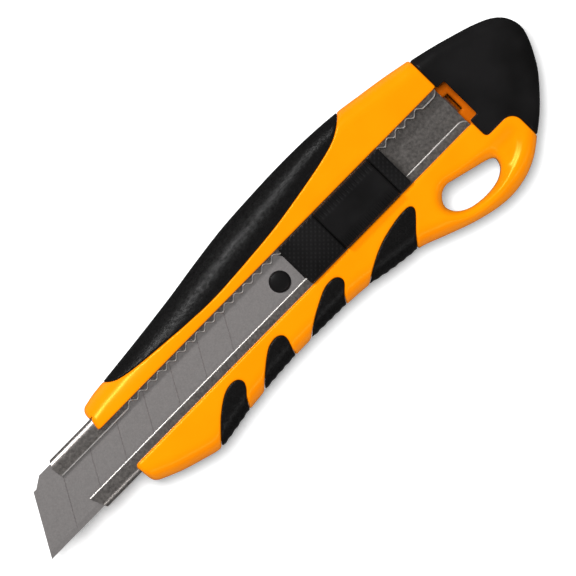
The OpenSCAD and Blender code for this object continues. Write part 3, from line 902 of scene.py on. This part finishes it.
def padded(low, high, *steps):
    """Grid coordinates along x, y and z around a box, with a margin outside it."""
    return [spaced(a - GRID_MARGIN, (b + GRID_MARGIN, step)) for a, b, step in zip(low, high, steps)]


# The handle's grid is finer where its edges are: at both ends, along the slot, and near the face
lengths = spaced(-76.2, (-64.2, 0.4), (58, 0.52), (62.6, 0.35))
rows = spaced(-22, (SLOT_LOW - 1.4, 0.5), (SLOT_LOW + 0.4, 0.3), (SLOT_HIGH - 0.4, 0.6),
              (SLOT_HIGH + 1.4, 0.3), (29.4, 0.5))
levels = spaced(-0.4, (3, 0.4), (11, 1.0), (FACE_Z + 0.8, 0.35))
handle = shape_piece("handle_shell", handle_shape, (lengths, rows, levels), ORANGE)
finish_piece(handle, "handle", "orange_plastic", "handle_body")
# Faces of the spigot and of the floor behind the rail get the darker orange as painted shade
handle.data.materials.append(SHADED_ORANGE)
for face in handle.data.polygons:
    x, y, z = face.center / MM
    shaded_floor = x < RAIL_LOW[0] + 1 and SLOT_LOW < y < SLOT_HIGH and WALL < z < FACE_Z - 2
    if x < JOINT_X - 0.05 and y < SPIGOT_EDGE or shaded_floor:
        face.material_index = 1
handle.visible_diffuse = False

for name in ZONES:
    grid = padded(*node_box(name), GRIP_STEP, GRIP_STEP) + [levels]
    grip = shape_piece(name + "_pad", grip_shape(name), grid, GRIP)
    finish_piece(grip, "handle", "soft_grip", name)

grid = padded(CAP_LOW, CAP_HIGH, CAP_STEP, CAP_STEP) + [levels]
cap = shape_piece("end_cap_shell", cap_shape, grid, BLACK)
finish_piece(cap, "cap", "black_plastic", "end_cap")

grid = padded(BASE_LOW, BASE_HIGH, SLIDER_STEP, SLIDER_STEP, SLIDER_STEP)
base = shape_piece("slider_shoe", base_shape, grid, BLACK)
finish_piece(base, "slider", "black_plastic", "slider_base")

grid = padded(BUTTON_LOW, BUTTON_HIGH, SLIDER_STEP, SLIDER_STEP, SLIDER_STEP)
button = shape_piece("thumb_pad", button_shape, grid, BLACK)
finish_piece(button, "button", "black_plastic", "thumb_button")

low, high = (CARRIER_LOW[0], -CARRIER_HALF, CARRIER_LOW[2]), (CARRIER_HIGH[0], CARRIER_HALF, CARRIER_HIGH[2])
grid = padded(low, high, CARRIER_STEP, CARRIER_STEP, 0.15)
carrier = shape_piece("blade_holder", carrier_shape, grid, BLACK)
finish_piece(carrier, "slider", "black_plastic", "blade_carrier")

verts, faces, edges = rail_mesh()
tab_verts, tab_faces = rail_tab()
faces += [tuple(i + len(verts) for i in face) for face in tab_faces]
rail = mesh_piece("rail_channel", verts + tab_verts, faces, RAIL_STEEL, crease=50)
# The sheared lip edges take the lighter steel, which also paints their highlight line
rail.data.materials.append(EDGE_STEEL_AND_HIGHLIGHT)
for index in edges:
    rail.data.polygons[index].material_index = 1
finish_piece(rail, "handle", "rail_steel", "blade_rail")

# The CAD's own shapes that stay in view
for node, metal in (("blade", BLADE_STEEL), ("button_spring", SPRING_STEEL), ("lock_pawl", SPRING_STEEL),
                    ("pawl_spring", SPRING_STEEL)):
    for material_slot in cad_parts[node].material_slots:
        material_slot.material = metal


# ---------------------------------------------------------------- stage

# The camera looks straight down: what it centres on, the width it shows and how far it is turned
VIEW_CENTRE = np.array([-0.31, 3.30, FACE_Z])
VIEW_WIDTH = 152.4
VIEW_TURN = math.radians(45.54)
SENSOR, DISTANCE = 36.0, 3.0
FLOOR_REACH, FLOOR_DROP, FLOOR_GLOW = 3.0, 0.0002, 0.27
WORLD_GLOW = 0.08


def look(position, target, up):
    """A rotation that points -Z from position to target, with Y towards up."""
    back = (Vector(position) - Vector(target)).normalized()
    right = Vector(up).cross(back).normalized()
    return Matrix((right, back.cross(right), back)).transposed().to_4x4()


camera_data = bpy.data.cameras.new("camera")
camera_data.sensor_width = SENSOR
camera_data.lens = SENSOR * DISTANCE / (VIEW_WIDTH * MM)
camera_data.clip_end = 10
camera = bpy.data.objects.new("camera", camera_data)
bpy.context.scene.collection.objects.link(camera)
centre = Vector(VIEW_CENTRE * MM)
eye = centre + Vector((0, 0, DISTANCE))
up = (-math.sin(VIEW_TURN), -math.cos(VIEW_TURN), 0)
camera.matrix_world = Matrix.Translation(eye) @ look(eye, centre, up)
bpy.context.scene.camera = camera

floor_mesh = bpy.data.meshes.new("floor")
floor_corners = [(FLOOR_REACH * i, FLOOR_REACH * j, 0) for i, j in ((-1, -1), (1, -1), (1, 1), (-1, 1))]
floor_mesh.from_pydata(floor_corners, [], [(0, 1, 2, 3)])
floor = bpy.data.objects.new("floor", floor_mesh)
floor.location.z = -FLOOR_DROP
bpy.context.scene.collection.objects.link(floor)
floor_material, _, floor_shader = material("floor_white", (0.9, 0.9, 0.9), 0.9, specular=0.0)
floor_shader.inputs["Emission Color"].default_value = (1, 1, 1, 1)
floor_shader.inputs["Emission Strength"].default_value = FLOOR_GLOW
floor_mesh.materials.append(floor_material)
floor.visible_glossy = False


def softbox(name, position, size, power, glossy=True, target=(0, 0, 0.008)):
    """A rectangular light that faces its target and is never in view itself."""
    data = bpy.data.lights.new(name, "AREA")
    data.shape = "RECTANGLE"
    data.size, data.size_y = size
    data.energy = power
    light = bpy.data.objects.new(name, data)
    light.matrix_world = Matrix.Translation(position) @ look(position, target, (0, 1, 0.1))
    light.visible_glossy = glossy
    light.visible_camera = False
    bpy.context.scene.collection.objects.link(light)


softbox("ceiling", (0, -0.57, 3.26), (1.1, 1.1), 112, glossy=False)
softbox("key", (0.09, -0.4, 0.38), (0.16, 0.08), 1.5, target=(0.02, 0, 0.01))
softbox("fill", (0, 0.9, 0.8), (1.2, 0.15), 2.0)

world = bpy.data.worlds.new("world")
bpy.context.scene.world = world
world.use_nodes = True
world.node_tree.nodes["Background"].inputs["Color"].default_value = (1, 1, 1, 1)
world.node_tree.nodes["Background"].inputs["Strength"].default_value = WORLD_GLOW

bpy.context.scene.view_settings.view_transform = "Standard"
